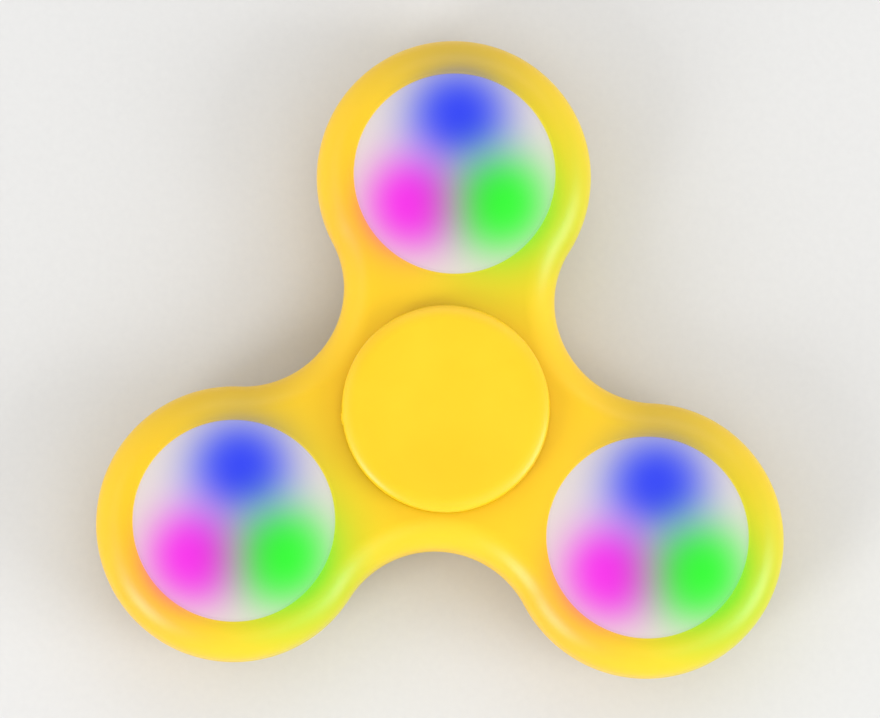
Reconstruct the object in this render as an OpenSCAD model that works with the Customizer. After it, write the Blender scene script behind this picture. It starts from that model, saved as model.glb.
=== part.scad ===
// Three-armed light-up fidget spinner with a ball bearing at its hub.
// Millimetres. +Z is the spin axis, and z = 0 is the face of the lower finger cap that stands on a table.
// The first arm points along +Y, and X runs across the other two arms.

/* [Body] */
// Distance from the spin axis to the centre of each lobe
arm_reach = 26; // [25:0.5:30]
// Outer radius of each lobe
lobe_r = 15; // [14:0.5:16]
// Thickness of the body
body_t = 9; // [9:0.5:11]
// Radius that rounds the body's outer edges
edge_r = 3.4; // [2:0.1:3.6]
// Width of the bevel round each window
window_bevel = 0.35; // [0.2:0.05:0.5]

/* [Finger caps] */
// Radius of each finger cap
cap_r = 11.3; // [10:0.1:12]
// Thickness of a finger cap's disc
cap_t = 2; // [1.6:0.1:3]
// Height of the gap between a finger cap and the body
cap_gap = 0.5; // [0.4:0.1:1]
// Radius that rounds a finger cap's outer edge
cap_edge_r = 0.8; // [0.4:0.1:1]
// Depth of the shallow dish for the fingertip
dish_depth = 0.3; // [0.1:0.05:0.4]
// Length of the stem that presses into the bearing
stem_len = 3.2; // [2:0.1:3.4]

/* [Bearing] */
// Outer radius of the bearing
bearing_r = 11; // [11:0.1:11]
// Radius of the bearing's bore
bore_r = 4; // [4:0.1:4]
// Width of the bearing
bearing_w = 7; // [7:0.1:7]
// Radius of a ball
ball_r = 1.984; // [1.9:0.001:2]
// Number of balls
ball_count = 7; // [6:1:7]
// Radius of the circle through the balls' centres
ball_ring_r = 7.5; // [7.4:0.1:7.6]
// Gap between a ball and the bottom of each groove
ball_play = 0.03; // [0.02:0.01:0.05]

/* [Light modules] */
// Outer radius of a light module
module_r = 11; // [10.9:0.05:11]
// Height of the lens's crown above its rim
lens_crown = 0.5; // [0.2:0.1:0.8]
// Distance from a module's centre to each LED
led_ring_r = 6.1; // [5.5:0.1:6.4]
// Radius of a button cell
cell_r = 3.95; // [3.4:0.05:3.95]
// Thickness of a button cell
cell_t = 3.6; // [2.6:0.1:3.6]
// Thickness of the circuit board
board_t = 0.8; // [0.6:0.1:1]

/* [Buttons] */
// Radius of the push button behind each module
button_r = 1.34; // [1.2:0.02:1.34]
// How far the button stands out of the module's back at rest
button_proud = 0.4; // [0.35:0.05:0.6]

/* [Hidden] */
$fn = 96;
large_fn = 256;
MODULES = [1, 2, 3];

// Overlap that makes a cut pass cleanly through a face
cut = 1;

// Body
first_arm_angle = 90;
arm_step = 120;
half_t = body_t / 2;
// The waists' arcs are this much larger, so they cross the lobes' arcs instead of touching them
waist_overlap = 0.02;
waist_r = arm_reach - lobe_r + waist_overlap;
waist_band_w = 9;
// The rough body is this much thicker at each face, and one cut levels all its pieces
face_trim = 0.02;
neck_w = 12;
fit_gap = 0.02;
seat_lip_r = 10;

// Heights of the hub, from the table up
cap_face_h = half_t + cap_gap + cap_t;
mid_z = cap_face_h;
cap_under_h = half_t + cap_gap;
half_w = bearing_w / 2;

// Finger caps
collar_r = 5.5;
stem_r = bore_r - fit_gap;
stem_hollow_r = 2.6;
stem_slot_w = 0.8;
stem_slot_len = 2.4;
stem_lead = 0.4;
cap_under_edge = 0.3;
land_w = 0.9;
dish_r = cap_r - cap_edge_r - land_w;
dish_sphere_r = (pow(dish_r, 2) + pow(dish_depth, 2)) / (2 * dish_depth);

// Bearing
groove_r = 1.038 * ball_r;
inner_land_r = 6.05;
outer_land_r = 9;
ring_chamfer = 0.3;
shield_t = 0.3;
shield_seat_z = 2.8;
shield_seat_r = 9.6;
shield_gap = 0.2;
cage_r = [6.75, 8.25];
cage_z = [-2.3, 1.1];
pocket_gap = 0.08;

// Light module, in heights above the body's middle plane
back_z = -half_t;
floor_t = 0.8;
contact_t = 0.2;
floor_z = back_z + floor_t;
cell_z = floor_z + contact_t;
board_z = cell_z + cell_t + contact_t;
board_top_z = board_z + board_t;
split_z = board_z + 0.2;
rim_z = half_t - 0.2;
cup_wall = 1;
cup_inner_r = module_r - cup_wall;
spigot_r = module_r - 0.5;
spigot_top_z = split_z + 1;
board_r = cup_inner_r - 0.1;
cell_ring_r = cup_inner_r - cell_r - 0.05;
cell_angles = [30, 150, 270];
divider_angles = [90, 210, 330];
divider_w = 2.2;
divider_start_r = 4.6;
pin_ring_r = 8.8;
pin_r = 0.5;
pin_top_z = board_top_z + 0.4;
cell_cap_r = 3.1;
cell_cap_t = 0.4;
module_edge = 0.3;
contact_pad_r = 2.2;
contact_strip_w = 1.6;

// Lens
lens_skin = 0.9;
lens_rim_edge = 0.25;
lens_under_z = rim_z - lens_skin;
lens_crown_r = module_r - lens_rim_edge;
lens_sphere_r = (pow(lens_crown_r, 2) + pow(lens_crown, 2)) / (2 * lens_crown);
lens_foot_r = [9.3, 9.9];
lens_skirt_r = spigot_r + 0.05;

// LEDs
led_angles = [90, 210, 330];
led_size = [2.8, 3.5, 1];
led_dome_r = 1.2;
led_dome_h = 0.45;
chip_r = 2;
chip_h = 0.9;

// Switch and button
switch_w = 2.8;
switch_t = 1.2;
plunger_r = 0.7;
plunger_gap = 0.05;
plunger_out = 0.4;
plunger_in = 0.55;
plunger_bore = 1;
button_hole_r = button_r + 0.06;
button_flange_r = 1.85;
button_flange_t = 0.5;
button_stem_r = 0.9;
switch_face_z = board_z - switch_t;
plunger_tip_z = switch_face_z - plunger_out;

yellow = [0.98, 0.79, 0.08];
frosted = [0.93, 0.9, 0.93, 0.85];
white = [0.92, 0.92, 0.9];
steel = [0.72, 0.73, 0.75];
nylon = [0.85, 0.82, 0.72];

module ring_of(count, r, start = 0) {
    for (i = [0:count - 1])
        rotate(start + i * 360 / count)
            translate([r, 0, 0])
                children();
}

// Puts a hub part that is drawn above the middle plane in its place on the upper side
module upper_side() {
    translate([0, 0, mid_z]) children();
}

// The same, turned over to the lower side
module lower_side() {
    translate([0, 0, mid_z]) mirror([0, 0, 1]) children();
}

module at_lobe(m) {
    a = first_arm_angle + (m - 1) * arm_step;
    translate([arm_reach * cos(a), arm_reach * sin(a), mid_z]) children();
}

// A slab's cross-section from the x of its round edge to an inner x, rounded above and below at that edge
module edge_section(edge_x, inner_x) {
    inward = sign(inner_x - edge_x);
    round_x = edge_x + inward * edge_r;
    rough_half_t = half_t + face_trim;
    flat_h = rough_half_t - edge_r;
    translate([min(round_x, inner_x), -rough_half_t]) square([abs(inner_x - round_x), 2 * rough_half_t]);
    translate([min(edge_x, inner_x), -flat_h]) square([abs(inner_x - edge_x), 2 * flat_h]);
    for (side = [-1, 1]) translate([round_x, side * flat_h]) circle(edge_r);
}

// A lobe is a whole round-edged disc
module lobe() {
    rotate_extrude() edge_section(lobe_r, 0);
}

// The waist between two lobes, which sweeps the same edge about a point outside the body
module waist() {
    translate([arm_reach, 0, 0])
        rotate(180 - arm_step / 2)
            rotate_extrude(angle = arm_step) edge_section(waist_r, waist_r + waist_band_w);
}

// A plate that fills an arm from the spin axis to its lobe, inside the waists' flat faces
module neck() {
    translate([0, -neck_w / 2, -half_t - face_trim]) cube([arm_reach, neck_w, body_t + 2 * face_trim]);
}

// A flat cut that levels the body's faces
module face_cut() {
    for (side = [0, 1])
        mirror([0, 0, side])
            translate([-2 * arm_reach, -2 * arm_reach, half_t])
                cube([4 * arm_reach, 4 * arm_reach, cut]);
}

module body() {
    color(yellow)
    translate([0, 0, mid_z])
    difference() {
        union() {
            ring_of(3, arm_reach, first_arm_angle) lobe();
            ring_of(3, 0, first_arm_angle) neck();
            ring_of(3, 0, first_arm_angle + arm_step / 2) waist();
        }
        face_cut();
        ring_of(3, arm_reach, first_arm_angle) window_cut();
        bearing_seat_cut();
    }
}

// A through hole for a light module, bevelled on both faces
module window_cut() {
    hole_r = module_r + fit_gap;
    cylinder(r = hole_r, h = body_t + 2 * cut, center = true);
    for (side = [0, 1])
        mirror([0, 0, side])
            translate([0, 0, half_t - window_bevel])
                cylinder(r1 = hole_r, r2 = hole_r + window_bevel + cut, h = window_bevel + cut);
}

// The bearing goes in from above and stands on a lip
module bearing_seat_cut() {
    translate([0, 0, -half_w]) cylinder(r = bearing_r + fit_gap, h = body_t);
    cylinder(r = seat_lip_r, h = body_t + 2 * cut, center = true);
}

// Half of a finger cap's section, from the axis out, in heights above the body's middle plane
module cap_section() {
    difference() {
        union() {
            translate([0, cap_under_h + cap_under_edge])
                square([cap_r, cap_t - cap_under_edge - cap_edge_r]);
            translate([0, cap_under_h]) square([cap_r - cap_under_edge, cap_t / 2]);
            translate([0, cap_under_h + cap_t / 2]) square([cap_r - cap_edge_r, cap_t / 2]);
            translate([cap_r - cap_edge_r, cap_face_h - cap_edge_r]) circle(cap_edge_r);
            translate([cap_r - cap_under_edge, cap_under_h + cap_under_edge]) circle(cap_under_edge);
            translate([0, half_w]) square([collar_r, cap_under_h - half_w + cap_t / 2]);
            polygon([
                [0, half_w - stem_len],
                [stem_r - stem_lead, half_w - stem_len],
                [stem_r, half_w - stem_len + stem_lead],
                [stem_r, half_w + cap_t / 2],
                [0, half_w + cap_t / 2]
            ]);
        }
        translate([0, cap_face_h - dish_depth + dish_sphere_r]) circle(dish_sphere_r, $fn = large_fn);
        translate([-2 * dish_sphere_r, -dish_sphere_r]) square([2 * dish_sphere_r, 4 * dish_sphere_r]);
    }
}

module finger_cap() {
    color(yellow)
    difference() {
        rotate_extrude() cap_section();
        translate([0, 0, half_w - stem_len - cut])
            cylinder(r = stem_hollow_r, h = stem_len + cut);
        for (turn = [0, 90])
            rotate(turn)
                translate([-stem_r - cut, -stem_slot_w / 2, half_w - stem_len - cut])
                    cube([2 * (stem_r + cut), stem_slot_w, stem_slot_len + cut]);
    }
}

module bearing_outer_ring() {
    groove_ring_r = ball_ring_r + ball_r + ball_play - groove_r;
    color(steel)
    translate([0, 0, mid_z])
    difference() {
        rotate_extrude() polygon([
            [outer_land_r, -shield_seat_z],
            [shield_seat_r, -shield_seat_z],
            [shield_seat_r, -half_w],
            [bearing_r - ring_chamfer, -half_w],
            [bearing_r, -half_w + ring_chamfer],
            [bearing_r, half_w - ring_chamfer],
            [bearing_r - ring_chamfer, half_w],
            [shield_seat_r, half_w],
            [shield_seat_r, shield_seat_z],
            [outer_land_r, shield_seat_z]
        ]);
        rotate_extrude() translate([groove_ring_r, 0]) circle(groove_r);
    }
}

module bearing_inner_ring() {
    groove_ring_r = ball_ring_r - ball_r - ball_play + groove_r;
    color(steel)
    translate([0, 0, mid_z])
    difference() {
        rotate_extrude() polygon([
            [bore_r, -half_w + ring_chamfer],
            [bore_r + ring_chamfer, -half_w],
            [inner_land_r - ring_chamfer, -half_w],
            [inner_land_r, -half_w + ring_chamfer],
            [inner_land_r, half_w - ring_chamfer],
            [inner_land_r - ring_chamfer, half_w],
            [bore_r + ring_chamfer, half_w],
            [bore_r, half_w - ring_chamfer]
        ]);
        rotate_extrude() translate([groove_ring_r, 0]) circle(groove_r);
    }
}

module bearing_ball(i) {
    color(steel)
    rotate((i - 1) * 360 / ball_count)
        translate([ball_ring_r, 0, mid_z])
            sphere(r = ball_r);
}

// A snap-in crown cage: a ring below, with a pocket that grips each ball
module bearing_cage() {
    color(nylon)
    translate([0, 0, mid_z])
    difference() {
        rotate_extrude()
            translate([cage_r[0], cage_z[0]])
                square([cage_r[1] - cage_r[0], cage_z[1] - cage_z[0]]);
        ring_of(ball_count, ball_ring_r) sphere(r = ball_r + pocket_gap);
    }
}

// A pressed washer in the outer ring's seat, clear of the inner ring
module bearing_shield() {
    color(steel)
    rotate_extrude()
        translate([inner_land_r + shield_gap, shield_seat_z])
            square([shield_seat_r - fit_gap - inner_land_r - shield_gap, shield_t]);
}

// A frosted dome whose skirt slides over the cup's spigot and whose foot holds the board down
module lens() {
    color(frosted)
    rotate_extrude()
    difference() {
        intersection() {
            translate([0, split_z]) square([module_r, rim_z + lens_crown - split_z]);
            translate([0, rim_z + lens_crown - lens_sphere_r]) circle(lens_sphere_r, $fn = large_fn);
        }
        polygon([
            [-cut, lens_under_z],
            [lens_foot_r[0], lens_under_z],
            [lens_foot_r[0], board_top_z],
            [lens_foot_r[1], board_top_z],
            [lens_foot_r[1], spigot_top_z + 0.1],
            [lens_skirt_r, spigot_top_z + 0.1],
            [lens_skirt_r, split_z - cut],
            [-cut, split_z - cut]
        ]);
        polygon([
            [module_r - lens_rim_edge, rim_z + lens_crown],
            [module_r - lens_rim_edge, rim_z],
            [module_r, rim_z - lens_rim_edge],
            [module_r + cut, rim_z - lens_rim_edge],
            [module_r + cut, rim_z + lens_crown]
        ]);
    }
}

// The module's back half, with dividers between the cells that carry the board
module module_cup() {
    color(white)
    difference() {
        union() {
            rotate_extrude() polygon([
                [0, back_z],
                [module_r - module_edge, back_z],
                [module_r, back_z + module_edge],
                [module_r, split_z],
                [spigot_r, split_z],
                [spigot_r, spigot_top_z],
                [cup_inner_r, spigot_top_z],
                [cup_inner_r, floor_z],
                [0, floor_z]
            ]);
            for (a = divider_angles) rotate(a) divider();
        }
        translate([0, 0, back_z - cut]) cylinder(r = button_hole_r, h = floor_t + 2 * cut);
    }
}

// A rib between two cells, with a locating pin on top for the board
module divider() {
    depth = cup_inner_r + cup_wall / 2 - divider_start_r;
    translate([divider_start_r, -divider_w / 2, floor_z - floor_t / 2])
        cube([depth, divider_w, board_z - floor_z + floor_t / 2]);
    translate([pin_ring_r, 0, board_z - cut]) cylinder(r = pin_r, h = pin_top_z - board_z + cut);
}

module circuit_board() {
    color("seagreen")
    translate([0, 0, board_z])
    difference() {
        cylinder(r = board_r, h = board_t);
        for (a = divider_angles)
            rotate(a)
                translate([pin_ring_r, 0, -cut])
                    cylinder(r = pin_r + 0.1, h = board_t + 2 * cut);
    }
}

// A low dome of the given base radius and height
module dome(r, h) {
    sphere_r = (pow(r, 2) + pow(h, 2)) / (2 * h);
    intersection() {
        translate([0, 0, h - sphere_r]) sphere(r = sphere_r);
        cylinder(r = r + cut, h = h + cut);
    }
}

// The driver circuit under a black drop of resin
module driver_chip() {
    color([0.06, 0.06, 0.07]) translate([0, 0, board_top_z]) dome(chip_r, chip_h);
}

module led(index, tint) {
    color(tint)
    rotate(led_angles[index])
        translate([led_ring_r, 0, board_top_z]) {
            translate([-led_size[0] / 2, -led_size[1] / 2, 0]) cube(led_size);
            translate([0, 0, led_size[2] - 0.1]) cylinder(r = led_dome_r, h = 0.1);
            translate([0, 0, led_size[2]]) dome(led_dome_r, led_dome_h);
        }
}

// A button cell with its small end up
module button_cell() {
    cylinder(r = cell_r, h = cell_t - cell_cap_t);
    cylinder(r = cell_cap_r, h = cell_t);
}

// The cells are in series, so the middle one stands the other way up
module button_cells() {
    color(steel)
    for (i = [0:2])
        rotate(cell_angles[i])
            translate([cell_ring_r, 0, cell_z + (i == 1 ? cell_t : 0)])
                rotate([i == 1 ? 180 : 0, 0, 0])
                    button_cell();
}

// A spring-metal pad on one cell's end
module contact_pad(i) {
    rotate(cell_angles[i]) translate([cell_ring_r, 0, 0]) cylinder(r = contact_pad_r, h = contact_t);
}

// A strip that joins two cells' ends, bowed round the button by passing outside it
module contact_bridge(i, j) {
    middle = (cell_angles[i] + cell_angles[j]) / 2;
    span = 2 * cell_ring_r * sin(abs(cell_angles[j] - cell_angles[i]) / 2);
    reach = cell_ring_r * cos(abs(cell_angles[j] - cell_angles[i]) / 2);
    contact_pad(i);
    contact_pad(j);
    rotate(middle)
        translate([reach - contact_strip_w / 2 + 0.2, -span / 2, 0])
            cube([contact_strip_w, span, contact_t]);
}

module lower_contacts() {
    color(steel)
    translate([0, 0, floor_z]) {
        contact_bridge(0, 1);
        contact_pad(2);
    }
}

module upper_contacts() {
    color(steel)
    translate([0, 0, cell_z + cell_t]) {
        contact_bridge(1, 2);
        contact_pad(0);
    }
}

module switch_body() {
    color([0.1, 0.1, 0.11])
    difference() {
        translate([-switch_w / 2, -switch_w / 2, switch_face_z]) cube([switch_w, switch_w, switch_t]);
        translate([0, 0, switch_face_z - cut]) cylinder(r = plunger_r + plunger_gap, h = plunger_bore + cut);
    }
}

module switch_plunger() {
    color("firebrick")
    translate([0, 0, plunger_tip_z]) cylinder(r = plunger_r, h = plunger_out + plunger_in);
}

// A stepped button: a face outside, a flange that stops on the floor, and a stem to the switch
module push_button() {
    color(white)
    rotate_extrude() polygon([
        [0, back_z - button_proud],
        [button_r - 0.2, back_z - button_proud],
        [button_r, back_z - button_proud + 0.2],
        [button_r, floor_z],
        [button_flange_r, floor_z],
        [button_flange_r, floor_z + button_flange_t],
        [button_stem_r, floor_z + button_flange_t],
        [button_stem_r, plunger_tip_z],
        [0, plunger_tip_z]
    ]);
}

body();
upper_side() finger_cap();  // finger_cap_top
lower_side() finger_cap();  // finger_cap_bottom
bearing_outer_ring();
bearing_inner_ring();
bearing_cage();
upper_side() bearing_shield();  // bearing_shield_top
lower_side() bearing_shield();  // bearing_shield_bottom
for (i = [1:ball_count]) {
    bearing_ball(i);
}
for (m = MODULES) {
    at_lobe(m) lens();
    at_lobe(m) module_cup();
    at_lobe(m) circuit_board();
    at_lobe(m) driver_chip();
    at_lobe(m) led(0, "blue");
    at_lobe(m) led(1, "magenta");
    at_lobe(m) led(2, "lime");
    at_lobe(m) button_cells();
    at_lobe(m) lower_contacts();
    at_lobe(m) upper_contacts();
    at_lobe(m) switch_body();
    at_lobe(m) switch_plunger();
    at_lobe(m) push_button();
}
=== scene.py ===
"""Looks for a light-up fidget spinner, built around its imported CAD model.

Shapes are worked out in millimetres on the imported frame's axes, and turned into metres when a mesh is made.
The spin axis is Z through the origin, and the spinner stands on z = 0 on its lower finger cap.
"""

import math

import bpy
import numpy as np
from mathutils import Matrix, Vector
from mathutils.geometry import delaunay_2d_cdt


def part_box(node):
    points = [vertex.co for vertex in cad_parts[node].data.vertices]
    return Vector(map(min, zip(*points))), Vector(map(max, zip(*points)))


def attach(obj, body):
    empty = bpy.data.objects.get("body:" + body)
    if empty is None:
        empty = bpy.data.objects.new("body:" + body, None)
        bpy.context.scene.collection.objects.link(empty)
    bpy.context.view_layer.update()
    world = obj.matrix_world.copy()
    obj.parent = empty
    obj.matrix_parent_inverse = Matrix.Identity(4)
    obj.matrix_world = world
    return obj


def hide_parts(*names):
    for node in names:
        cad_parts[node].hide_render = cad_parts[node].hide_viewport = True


MM = 0.001
# Two points nearer than this, in millimetres, are the same
TINY = 1e-6

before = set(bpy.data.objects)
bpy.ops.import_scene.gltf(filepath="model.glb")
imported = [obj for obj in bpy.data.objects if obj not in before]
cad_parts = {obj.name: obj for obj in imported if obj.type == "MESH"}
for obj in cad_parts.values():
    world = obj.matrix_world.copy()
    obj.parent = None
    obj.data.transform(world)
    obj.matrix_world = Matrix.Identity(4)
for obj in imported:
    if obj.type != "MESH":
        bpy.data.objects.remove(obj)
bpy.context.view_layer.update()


# ---------------------------------------------------------------- sizes read from the frame, in millimetres

def low_mm(node):
    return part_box(node)[0] / MM


def high_mm(node):
    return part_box(node)[1] / MM


MODULES = (1, 2, 3)
ARM_ANGLES = (90, 210, 330)
LOBE_CENTRES = {m: ((low_mm(f"lens_{m}") + high_mm(f"lens_{m}")) / 2).xy for m in MODULES}
ARM_REACH = LOBE_CENTRES[1].length
LOBE_R = high_mm("body").y - ARM_REACH
WAIST_R = ARM_REACH - LOBE_R
BODY_LOW = low_mm("body").z
BODY_TOP = high_mm("body").z
MID_Z = (BODY_LOW + BODY_TOP) / 2

CAP_R = high_mm("finger_cap_top").x
CAP_TOP = high_mm("finger_cap_top").z
CAP_STEM_END = low_mm("finger_cap_top").z

MODULE_R = (high_mm("lens_1").x - low_mm("lens_1").x) / 2
LENS_CROWN_Z = high_mm("lens_1").z
LENS_SPLIT_Z = low_mm("lens_1").z
SPIGOT_TOP_Z = high_mm("circuit_board_1").z
BOARD_LOW_Z = low_mm("circuit_board_1").z
BUTTON_LOW_Z = low_mm("push_button_1").z
BUTTON_TOP_Z = high_mm("push_button_1").z

BEARING_R = high_mm("bearing_outer_ring").x
BEARING_LOW_Z = low_mm("bearing_outer_ring").z
BEARING_TOP_Z = high_mm("bearing_outer_ring").z


# ---------------------------------------------------------------- swept shapes with exact normals

class Shape:
    """Points, their true normals and the faces between them, gathered from one or more sweeps."""

    def __init__(self):
        self.points = []
        self.normals = []
        self.faces = []

    def add_ring(self, points, normals):
        start = len(self.points)
        self.points.extend(points)
        self.normals.extend(normals)
        return range(start, start + len(points))

    def bridge(self, low, high):
        count = len(low)
        for i in range(count):
            j = (i + 1) % count
            self.faces.append((low[i], low[j], high[j], high[i]))

    def fan(self, ring, pole, at_start):
        count = len(ring)
        for i in range(count):
            j = (i + 1) % count
            self.faces.append((ring[j], ring[i], pole) if at_start else (ring[i], ring[j], pole))

    def mirror_heights(self, middle):
        self.points = [(x, y, 2 * middle - z) for x, y, z in self.points]
        self.normals = [(x, y, -z) for x, y, z in self.normals]
        self.faces = [tuple(reversed(face)) for face in self.faces]


def corner_path(points, fillets, steps=6):
    """A polyline with rounded corners, as (r, z, normal r, normal z). The outside is on its right hand."""
    corners = [np.array(p, float) for p in points]
    path = []

    def emit(place, along):
        if not path or math.hypot(place[0] - path[-1][0], place[1] - path[-1][1]) > TINY:
            path.append((place[0], place[1], along[1], -along[0]))

    def direction(a, b):
        return (b - a) / np.linalg.norm(b - a)

    emit(corners[0], direction(corners[0], corners[1]))
    for before, corner, after, fillet in zip(corners, corners[1:], corners[2:], fillets):
        d0 = direction(before, corner)
        d1 = direction(corner, after)
        cross = d0[0] * d1[1] - d0[1] * d1[0]
        turn = math.atan2(cross, d0 @ d1)
        tangent = fillet * abs(math.tan(turn / 2))
        start = corner - d0 * tangent
        side = math.copysign(1, cross)
        centre = start + side * fillet * np.array((-d0[1], d0[0]))
        for step in range(steps + 1):
            angle = math.atan2(d0[1], d0[0]) + turn * step / steps
            along = np.array((math.cos(angle), math.sin(angle)))
            outward = np.array((along[1], -along[0]))
            emit(centre + side * fillet * outward, along)
    emit(corners[-1], direction(corners[-2], corners[-1]))
    return path


def sweep(shape, outline, path, closed=False):
    """Sweeps path round an outline. outline(offset) gives the ring's points and outward directions in XY."""
    rings = []
    for r, z, normal_r, normal_z in path:
        flat, outward = outline(r)
        points = [(x, y, z) for x, y in flat]
        normals = [(x * normal_r, y * normal_r, normal_z) for x, y in outward]
        rings.append(shape.add_ring(points, normals))
    for low, high in zip(rings, rings[1:]):
        shape.bridge(low, high)
    if closed:
        shape.bridge(rings[-1], rings[0])
    return rings


def circle_outline(centre, count):
    angles = np.linspace(0, 2 * math.pi, count, endpoint=False)
    outward = list(zip(np.cos(angles), np.sin(angles)))
    return lambda r: ([(centre[0] + r * x, centre[1] + r * y) for x, y in outward], outward)


def lathe(shape, path, centre, count):
    """Turns path about a vertical axis. An end on the axis is closed with a fan."""
    on_axis = [path[0][0] < TINY, path[-1][0] < TINY]
    inner = path[on_axis[0]:len(path) - on_axis[1]]
    rings = sweep(shape, circle_outline(centre, count), inner)
    for end, ring, at_start in ((path[0], rings[0], True), (path[-1], rings[-1], False)):
        if end[0] < TINY:
            pole = shape.add_ring([(centre[0], centre[1], end[1])], [(0, 0, end[3])])[0]
            shape.fan(ring, pole, at_start)
    return rings


def arc_block(shape, radii, heights, angles, edge_r, steps):
    """An upright block between two radii and two angles in degrees, with rounded long edges."""
    (r0, r1), (z0, z1), (a0, a1) = radii, heights, angles
    corners = [(r0 + edge_r, z0), (r1, z0), (r1, z1), (r0, z1), (r0, z0), (r0 + 2 * edge_r, z0)]
    section = corner_path(corners, [edge_r] * 4, steps=3)[:-2]
    rings = []
    for angle in np.radians(np.linspace(a0, a1, steps + 1)):
        c, s = math.cos(angle), math.sin(angle)
        points = [(r * c, r * s, z) for r, z, _, _ in section]
        normals = [(nr * c, nr * s, nz) for _, _, nr, nz in section]
        rings.append(shape.add_ring(points, normals))
    for low, high in zip(rings, rings[1:]):
        shape.bridge(high, low)
    for end, outward, flip in ((a0, -1, False), (a1, 1, True)):
        c, s = math.cos(math.radians(end)), math.sin(math.radians(end))
        face_normal = (-s * outward, c * outward, 0)
        points = [(r * c, r * s, z) for r, z, _, _ in section]
        face = tuple(shape.add_ring(points, [face_normal] * len(points)))
        shape.faces.append(tuple(reversed(face)) if flip else face)


def make_piece(name, shape, finish, body, replaced):
    """A mesh object in metres that rides on a CAD body and stands for a CAD node."""
    mesh = bpy.data.meshes.new(name)
    mesh.from_pydata([(x * MM, y * MM, z * MM) for x, y, z in shape.points], [], shape.faces)
    mesh.shade_smooth()
    mesh.normals_split_custom_set_from_vertices([Vector(n).normalized() for n in shape.normals])
    mesh.materials.append(finish)
    piece = bpy.data.objects.new(name, mesh)
    bpy.context.scene.collection.objects.link(piece)
    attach(piece, body)
    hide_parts(replaced)
    return piece


# ---------------------------------------------------------------- colours

# Colours as they look on a screen, where 255 is white. The yellows' red passes it under the full light.
YELLOW_SEEN = (272, 220, 20)
YELLOW_DEEP_SEEN = (270, 216, 15)
CAP_SEEN = (272, 222, 28)
LENS_CENTRE_SEEN = (228, 218, 236)
LENS_RIM_SEEN = (234, 225, 218)
BLUE_SEEN = (46, 66, 247)
PINK_SEEN = (252, 20, 236)
GREEN_SEEN = (42, 254, 42)

# A darker and a lighter tone, as they look on a screen
CUP_WHITE_SEEN = ((224, 222, 219), (236, 235, 232))
BUTTON_GREY_SEEN = ((190, 189, 187), (205, 204, 202))
PLUNGER_WHITE_SEEN = ((196, 194, 188), (214, 212, 206))
SWITCH_BLACK_SEEN = ((30, 30, 32), (42, 42, 44))
CAGE_NYLON_SEEN = ((196, 188, 164), (216, 208, 184))

# A darker and a lighter tone, as linear surface colours
TURNED_STEEL = ((0.42, 0.43, 0.45), (0.60, 0.61, 0.63))
BALL_STEEL = ((0.60, 0.61, 0.63), (0.72, 0.73, 0.74))
CELL_NICKEL = ((0.52, 0.52, 0.51), (0.66, 0.66, 0.65))
CONTACT_BRONZE = ((0.50, 0.38, 0.22), (0.68, 0.54, 0.34))
SOLDER_MASK = ((0.010, 0.085, 0.030), (0.014, 0.115, 0.042))
COPPER_UNDER_MASK = (0.035, 0.20, 0.075)
CHIP_RESIN = ((0.008, 0.008, 0.009), (0.02, 0.02, 0.022))
FLOOR_PAPER = ((0.60, 0.60, 0.60), (0.64, 0.64, 0.635))

# How bright the studio's light makes a white surface that faces up
LIGHT_LEVEL = 1.38
DISPLAY_GAMMA = 2.2


def seen(colour):
    return tuple(c / 255 for c in colour)


def linear(colour):
    """The surface colour that looks like this under the studio's light."""
    return tuple((c / 255) ** DISPLAY_GAMMA / LIGHT_LEVEL for c in colour) + (1,)


# ---------------------------------------------------------------- material building

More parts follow.
